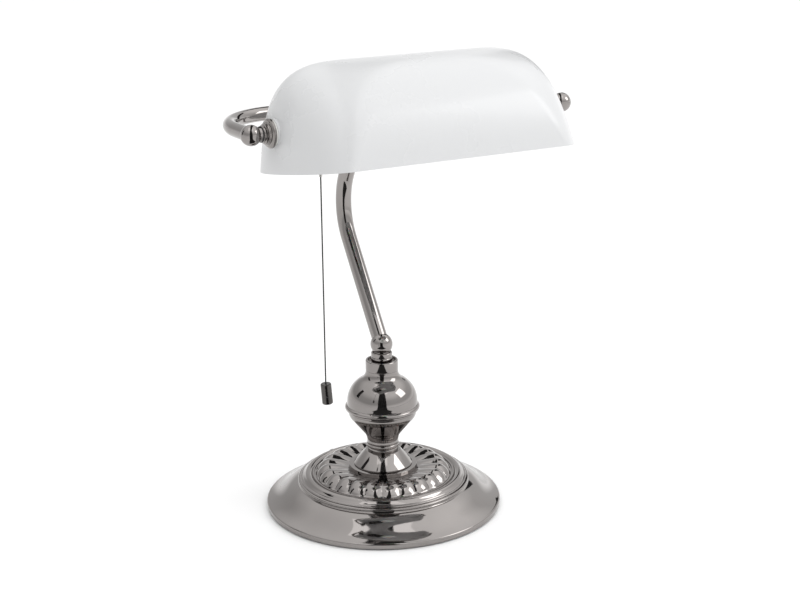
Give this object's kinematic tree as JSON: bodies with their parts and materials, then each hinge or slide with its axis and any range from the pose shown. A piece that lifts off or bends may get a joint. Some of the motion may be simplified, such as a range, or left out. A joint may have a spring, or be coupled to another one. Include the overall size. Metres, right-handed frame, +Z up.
{
  "type": "desk lamp",
  "caption": "Banker desk lamp: weighted round base with fluted ring, turned vase, leaning stem, U yoke and tilting opal glass trough shade with a pull-cord switch.",
  "frame": {"origin": "Centre of the felt pad's underside, on the desk, below the base's axis.", "axes": "+Z up, X along the shade and the yoke's rear bar, -Y the front of the lamp."},
  "size_m": [0.2616, 0.2079, 0.3513],
  "materials": {
    "felt_pad": "felt",
    "base_weight": "rough",
    "base_cover": "polished",
    "cord_gland": "matt",
    "base_nut": "satin",
    "base_washer": "satin",
    "fluted_ring": "polished",
    "foot_cone": "polished",
    "neck_ring": "polished",
    "vase_lower": "polished",
    "vase_upper": "polished",
    "vase_cap": "polished",
    "collar_ring": "polished",
    "threaded_rod": "satin",
    "ball_knuckle": "polished",
    "grub_screw": "satin",
    "stem_tube": "polished",
    "yoke_hub": "polished",
    "yoke_tube": "polished",
    "ball_end_left": "polished",
    "ball_end_right": "polished",
    "stud_left": "satin",
    "stud_right": "satin",
    "friction_washers": "matt",
    "stud_nuts": "satin",
    "holder_cap": "satin",
    "holder_shell": "satin",
    "holder_insert": "matt",
    "screw_sleeve": "bright",
    "centre_contact": "bright",
    "bulb_cap": "bright",
    "bulb_globe": "frosted",
    "switch_housing": "satin",
    "switch_bush": "polished",
    "return_spring": "satin",
    "glass_shade": "opal, glossy",
    "finial_left": "polished",
    "finial_right": "polished",
    "outer_washers": "matt",
    "inner_washers": "matt",
    "ring_nuts": "satin",
    "switch_plunger": "satin",
    "cord_link": "satin",
    "cord_ferrule": "satin",
    "pull_cord": "braided",
    "cord_weight": "polished",
    "weight_pin": "matt"
  },
  "bodies": {
    "stand": {"felt_pad": "felt_pad", "base_weight": "base_weight", "base_cover": "base_cover", "cord_gland": "cord_gland", "base_nut": "base_nut", "base_washer": "base_washer", "fluted_ring": "fluted_ring", "foot_cone": "foot_cone", "neck_ring": "neck_ring", "vase_lower": "vase_lower", "vase_upper": "vase_upper", "vase_cap": "vase_cap", "collar_ring": "collar_ring", "threaded_rod": "threaded_rod", "ball_knuckle": "ball_knuckle", "grub_screw": "grub_screw", "stem_tube": "stem_tube", "yoke_hub": "yoke_hub", "yoke_tube": "yoke_tube", "ball_end_left": "ball_end_left", "ball_end_right": "ball_end_right", "stud_left": "stud_left", "stud_right": "stud_right", "friction_washers": "friction_washers", "stud_nuts": "stud_nuts", "holder_cap": "holder_cap", "holder_shell": "holder_shell", "holder_insert": "holder_insert", "screw_sleeve": "screw_sleeve", "centre_contact": "centre_contact", "bulb_cap": "bulb_cap", "bulb_globe": "bulb_globe", "switch_housing": "switch_housing", "switch_bush": "switch_bush", "return_spring": "return_spring"},
    "shade": {"glass_shade": "glass_shade", "finial_left": "finial_left", "finial_right": "finial_right", "outer_washers": "outer_washers", "inner_washers": "inner_washers", "ring_nuts": "ring_nuts"},
    "plunger": {"switch_plunger": "switch_plunger"},
    "link": {"cord_link": "cord_link"},
    "pull": {"cord_ferrule": "cord_ferrule", "pull_cord": "pull_cord", "cord_weight": "cord_weight", "weight_pin": "weight_pin"}
  },
  "joints": [
    {"name": "shade_tilt", "type": "hinge", "parent": "stand", "child": "shade", "pos_m": [0, -0.052, 0.3064], "axis": [1, 0, 0], "range_deg": [-30, 20]},
    {"name": "pull_switch", "type": "slide", "parent": "stand", "child": "plunger", "axis": [0, 0, -1], "range_m": [0, 0.007], "stiffness_N_per_m": 250, "springref_m": -0.002, "deforming": ["return_spring"]},
    {"name": "cord_swing_fore_aft", "type": "hinge", "parent": "plunger", "child": "link", "pos_m": [-0.0735, -0.052, 0.2795], "axis": [1, 0, 0], "range_deg": [-25, 25]},
    {"name": "cord_swing_sideways", "type": "hinge", "parent": "link", "child": "pull", "pos_m": [-0.0735, -0.052, 0.2769], "axis": [0, 1, 0], "range_deg": [-18, 25]}
  ]
}
